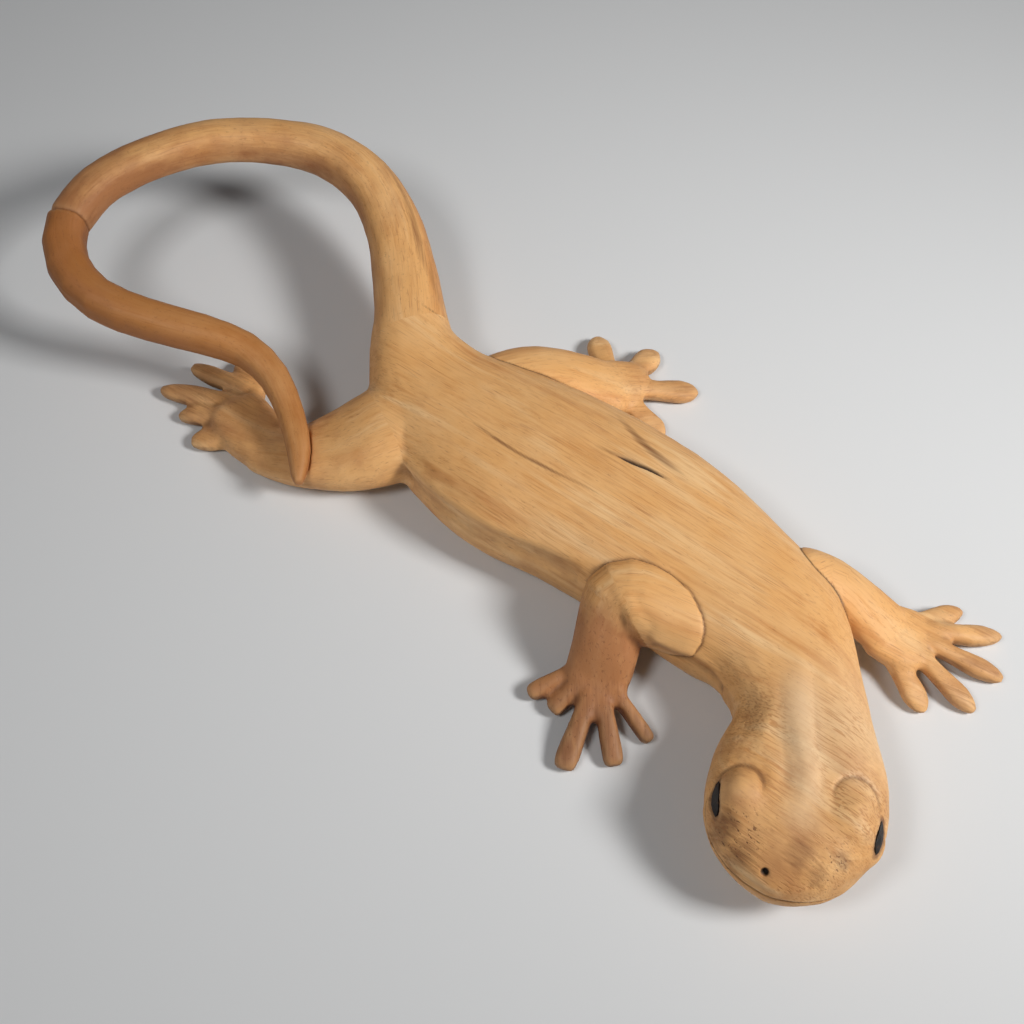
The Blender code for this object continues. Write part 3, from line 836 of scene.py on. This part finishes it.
def wood_material(name, amber=0.0):
    """Bare carved wood: broad bands, fine grain, pores, rasp scratches, browner and darker areas, and
    painted shade in hollows, in cuts and on faces turned sideways.
    """
    material = bpy.data.materials.new(name)
    g = Graph(material)
    grain = g.attribute("grain", "Vector")
    brown, stain_and_shade = g.attribute("brown"), g.attribute("stain_and_shade")
    cut_shade, hollow = g.attribute("cut_shade"), g.attribute("hollow")
    pits, rasp, pale = g.attribute("pits"), g.attribute("rasp"), g.attribute("pale")

    # Broad bands of early and late wood, then finer streaks and threads along the grain
    bands = g.noise(g.scaled(grain, (7, 75, 60)), 1.0, 3, 0.55, 0.6)
    colour = g.ramp(bands, (0.30, CREAM), (0.47, HONEY), (0.58, HONEY), (0.74, GOLD))
    streaks = g.noise(g.scaled(grain, (22, 420, 300), (3, 1, 7)), 1.0, 3, 0.6, 0.35)
    colour = g.mix(g.ramp(streaks, (0.50, 0.0), (0.72, 0.6)), colour, GOLD)
    threads = g.noise(g.scaled(grain, (38, 1500, 1100), (1, 5, 2)), 1.0, 2, 0.5, 0.2)
    colour = g.mix(g.ramp(threads, (0.58, 0.0), (0.76, 0.6)), colour, BROWN)
    clouds = g.noise(g.scaled(grain, (28, 40, 40), (9, 4, 1)), 1.0, 3, 0.6)
    colour = g.mix(g.ramp(clouds, (0.42, 0.0), (0.72, 0.35)), colour, CREAM)

    colour = g.mix(pale, colour, IVORY)

    # Brown wood on the head, the tail, the hands and the feet, with painted shade on faces turned
    # sideways and below the flank's edge, all in the brown share
    patches = g.noise(g.scaled(grain, (45, 75, 75), (2, 8, 3)), 1.0, 4, 0.6)
    brown_and_shade_level = g.math("ADD", brown, g.math("MULTIPLY", g.math("SUBTRACT", patches, 0.5), 1.1))
    colour = g.mix(g.ramp(brown_and_shade_level, (0.25, 0.0), (0.95, 0.85)), colour, BROWN)
    if amber:
        colour = g.mix(g.ramp(patches, (0.3, amber), (0.7, amber * 0.6)), colour, AMBER)
    # Stains and streaks, with painted shade in the neck's hollow, at the tail's bend and on the toes'
    # sides
    stain_and_shade_level = g.math("ADD", stain_and_shade, g.math("MULTIPLY", g.math("SUBTRACT", streaks, 0.5), 0.9))
    colour = g.mix(g.ramp(stain_and_shade_level, (0.30, 0.0), (1.0, 0.9)), colour, UMBER)

    # Rasp scratches: fine parallel lines in drifting patches
    lines = g.noise(g.scaled(grain, (75, 1300, 850), (6, 2, 9)), 1.0, 0, 0.4, 0.08)
    where = g.noise(g.scaled(grain, (18, 26, 26), (4, 4, 4)), 1.0, 2, 0.5)
    where = g.math("MULTIPLY", g.ramp(where, (0.34, 0.0), (0.56, 1.0)), rasp)
    scratch = g.math("MULTIPLY", g.ramp(lines, (0.53, 0.0), (0.66, 1.0)), where)
    colour = g.mix(g.math("MULTIPLY", scratch, 0.55), colour, RUST)

    # Pores and small dark pits
    pores = g.noise(g.scaled(grain, (260, 2600, 2600), (5, 5, 1)), 1.0, 1, 0.5)
    pore = g.ramp(pores, (0.70, 0.0), (0.80, 1.0))
    colour = g.mix(g.math("MULTIPLY", pore, 0.55), colour, BROWN)
    specks = g.noise(g.scaled(grain, (420, 620, 620), (1, 7, 5)), 1.0, 2, 0.6)
    speck = g.math("MULTIPLY", g.ramp(specks, (0.60, 0.0), (0.70, 1.0)), pits)
    colour = g.mix(speck, colour, UMBER)

    # Painted shade darkens the hollows and the cuts, and worn edges are paler
    colour = g.mix(g.ramp(hollow, (0.12, 0.0), (0.9, 0.55)), colour, UMBER)
    worn = g.math("MULTIPLY", g.ramp(g.math("MULTIPLY", hollow, -1.0), (0.25, 0.0), (1.0, 0.4)), 0.5)
    colour = g.mix(worn, colour, CREAM)
    colour = g.mix(g.ramp(cut_shade, (0.10, 0.0), (0.55, 0.75), (1.0, 1.0)), colour, SHADE_BLACK)
    g.put(g.shader.inputs["Base Color"], colour)

    rough = g.ramp(streaks, (0.3, 0.50), (0.7, 0.64))
    g.put(g.shader.inputs["Roughness"], rough)
    g.shader.inputs["Specular IOR Level"].default_value = 0.35

    relief = g.math("SUBTRACT", g.math("MULTIPLY", streaks, 0.35), g.math("MULTIPLY", scratch, 0.55))
    relief = g.math("SUBTRACT", relief, g.math("MULTIPLY", pore, 0.5))
    relief = g.math("SUBTRACT", relief, g.math("MULTIPLY", speck, 1.0))
    g.put(g.shader.inputs["Normal"], g.bump(relief, 0.55, 0.0006))
    return material


def eye_material():
    """A dark, slightly glossy inlay, mottled brown."""
    material = bpy.data.materials.new("dark_inlay")
    g = Graph(material)
    mottle = g.noise(g.place(), 350.0, 3, 0.6)
    colour = g.ramp(mottle, (0.35, EYE_BLACK), (0.6, EYE_BROWN), (0.75, EYE_FLECK))
    g.put(g.shader.inputs["Base Color"], colour)
    g.shader.inputs["Specular IOR Level"].default_value = 0.3
    g.put(g.shader.inputs["Roughness"], g.ramp(mottle, (0.3, 0.4), (0.7, 0.6)))
    g.put(g.shader.inputs["Normal"], g.bump(mottle, 0.3, 0.0004))
    return material


def dowel_material():
    """Plain turned dowel rod."""
    material = bpy.data.materials.new("dowel_rod")
    g = Graph(material)
    fibre = g.noise(g.scaled(g.place(), (900, 900, 120)), 1.0, 3, 0.6)
    g.put(g.shader.inputs["Base Color"], g.ramp(fibre, (0.3, CREAM), (0.7, HONEY)))
    g.put(g.shader.inputs["Roughness"], g.ramp(fibre, (0.3, 0.6), (0.7, 0.75)))
    g.put(g.shader.inputs["Normal"], g.bump(fibre, 0.3, 0.0003))
    return material


# ---------------------------------------------------------------- stage

def back_vector(azimuth, elevation):
    return Vector((
        math.sin(azimuth) * math.cos(elevation),
        -math.cos(azimuth) * math.cos(elevation),
        math.sin(elevation),
    ))


def stand_camera():
    data = bpy.data.cameras.new("camera")
    camera = bpy.data.objects.new("camera", data)
    bpy.context.scene.collection.objects.link(camera)
    back = back_vector(CAMERA_AZIMUTH, CAMERA_ELEVATION)
    camera.location = Vector((SHIFT[0], SHIFT[1], 0)) + back * CAMERA_DISTANCE
    camera.rotation_euler = (-back).to_track_quat("-Z", "Y").to_euler()
    data.sensor_width = SENSOR_WIDTH
    data.lens = SENSOR_WIDTH / 2 / math.tan(CAMERA_FIELD / 2)
    data.clip_start = CLIP_START
    bpy.context.scene.camera = camera


def area_light(name, azimuth, elevation, distance, size, power, colour, aim, spread):
    """A square soft light that stands off the middle of the floor and is aimed at a place on it."""
    data = bpy.data.lights.new(name, "AREA")
    data.shape = "SQUARE"
    data.size = size
    data.energy = power
    data.color = colour
    data.spread = math.radians(spread)
    light = bpy.data.objects.new(name, data)
    bpy.context.scene.collection.objects.link(light)
    back = back_vector(math.radians(azimuth), math.radians(elevation))
    light.location = back * distance
    light.rotation_euler = (Vector((*aim, 0)) - light.location).to_track_quat("-Z", "Y").to_euler()


def lay_floor():
    bm = bmesh.new()
    bmesh.ops.create_grid(bm, x_segments=1, y_segments=1, size=FLOOR_HALF_SIDE)
    mesh = bpy.data.meshes.new("floor")
    bm.to_mesh(mesh)
    bm.free()
    floor = linked("floor", mesh)
    floor.location.z = -FLOOR_DROP
    material = bpy.data.materials.new("floor_paper")
    shader = shader_of(material)
    shader.inputs["Base Color"].default_value = FLOOR_COLOUR
    shader.inputs["Roughness"].default_value = FLOOR_ROUGHNESS
    floor.data.materials.append(material)


def light_the_stage():
    """Two soft lamps, and a sky that is brightest at the horizon."""
    scene = bpy.context.scene
    scene.view_settings.view_transform = "Standard"
    world = bpy.data.worlds.new("studio")
    scene.world = world
    world.use_nodes = True
    tree = world.node_tree
    background = tree.nodes["Background"]
    background.inputs["Color"].default_value = SKY_COLOUR
    direction = tree.nodes.new("ShaderNodeTexCoord")
    split = tree.nodes.new("ShaderNodeSeparateXYZ")
    fall = tree.nodes.new("ShaderNodeMapRange")
    fall.interpolation_type = "SMOOTHSTEP"
    for name, value in SKY_FALL.items():
        fall.inputs[name].default_value = value
    tree.links.new(direction.outputs["Generated"], split.inputs["Vector"])
    tree.links.new(split.outputs["Z"], fall.inputs["Value"])
    tree.links.new(fall.outputs["Result"], background.inputs["Strength"])
    for name, settings in LAMPS.items():
        area_light(name, *settings)


# ---------------------------------------------------------------- build

stand_camera()
lay_floor()
light_the_stage()

form = voxel_skin("form", one_form(), *FORM_SKIN)
form = refined(form, near_details(places_of(form.data)))
places = places_of(form.data)
links = neighbour_links(form.data)
away_from = {node: distances_to(places, node) for node in ONE_FORM + LET_IN}
fields = {}
for limb in SEAMS:
    others = np.min([away_from[node] for node in away_from if node != limb], axis=0)
    fields[limb] = spread(others - away_from[limb], links, len(places), FIELD_ROUNDS)[:, 0]
    paint(form.data, "seam_" + limb, fields[limb])
normals = normals_of(form.data)
cut_shade = np.zeros(len(places))
lift = unevenness_of(places, 3)
for more_lift, more_cut_shade in (
    carve_head(places, normals), carve_body(places), carve_seams(places, fields),
):
    lift += more_lift
    cut_shade += more_cut_shade
move_to(form.data, places + normals * (lift * MM)[:, None])
# The painted shade in the cuts and seams, kept for the material
paint(form.data, "cut_shade", np.clip(cut_shade, 0, 1.3))
paint_hollows(form.data)

skins = {limb: parted(form, "seam_" + limb, limb + "_carved") for limb in SEAMS}
form.name = "trunk_carved"
skins["trunk"] = form

tail_skin = voxel_skin("tail_end_carved", welded("tail_end"), *TAIL_SKIN)
places = places_of(tail_skin.data)
move_to(tail_skin.data, places + normals_of(tail_skin.data) * (unevenness_of(places, 8) * MM)[:, None])
paint_hollows(tail_skin.data)
skins["tail_end"] = tail_skin

for piece in ("tail_base", "tail_end"):
    mesh = skins[piece].data
    other = "tail_end" if piece == "tail_base" else "tail_base"
    places = places_of(mesh)
    near_splice = np.exp(-(distances_to(places, other) / SPLICE_LIP_WIDTH) ** 2)
    near_splice *= np.linalg.norm(places - middle_of("splice_dowel"), axis=1) < SPLICE_RADIUS * MM
    move_to(mesh, places + normals_of(mesh) * (SPLICE_LIP * near_splice * MM)[:, None])
    # Painted shade along the splice's joint
    paint(mesh, "cut_shade", np.maximum(painted(mesh, "cut_shade"), SPLICE_SHADE * near_splice))
    paint(mesh, "hollow", painted(mesh, "hollow") * (1 - near_splice))

pale = wood_material("pale_carved_wood")
amber = wood_material("amber_carved_wood", amber=0.8)
for node, skin in skins.items():
    mesh = skin.data
    for name, values in looks_of(node, places_of(mesh), normals_of(mesh)).items():
        paint(mesh, name, np.clip(values, 0, 1))
    paint_vectors(mesh, "grain", grain_of(places_of(mesh), GRAIN[node]))
    mesh.materials.clear()
    mesh.materials.append(amber if node == "tail_end" else pale)
    mesh.shade_smooth()
    mesh.set_sharp_from_angle(angle=SMOOTH_NORMAL_ANGLE)
    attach(skin, "root")
    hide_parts(node)

eye, dowel = eye_material(), dowel_material()
for name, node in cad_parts.items():
    if name.endswith("eye"):
        node.data.materials.clear()
        node.data.materials.append(eye)
    elif "dowel" in name or "pin" in name:
        node.data.materials.clear()
        node.data.materials.append(dowel)
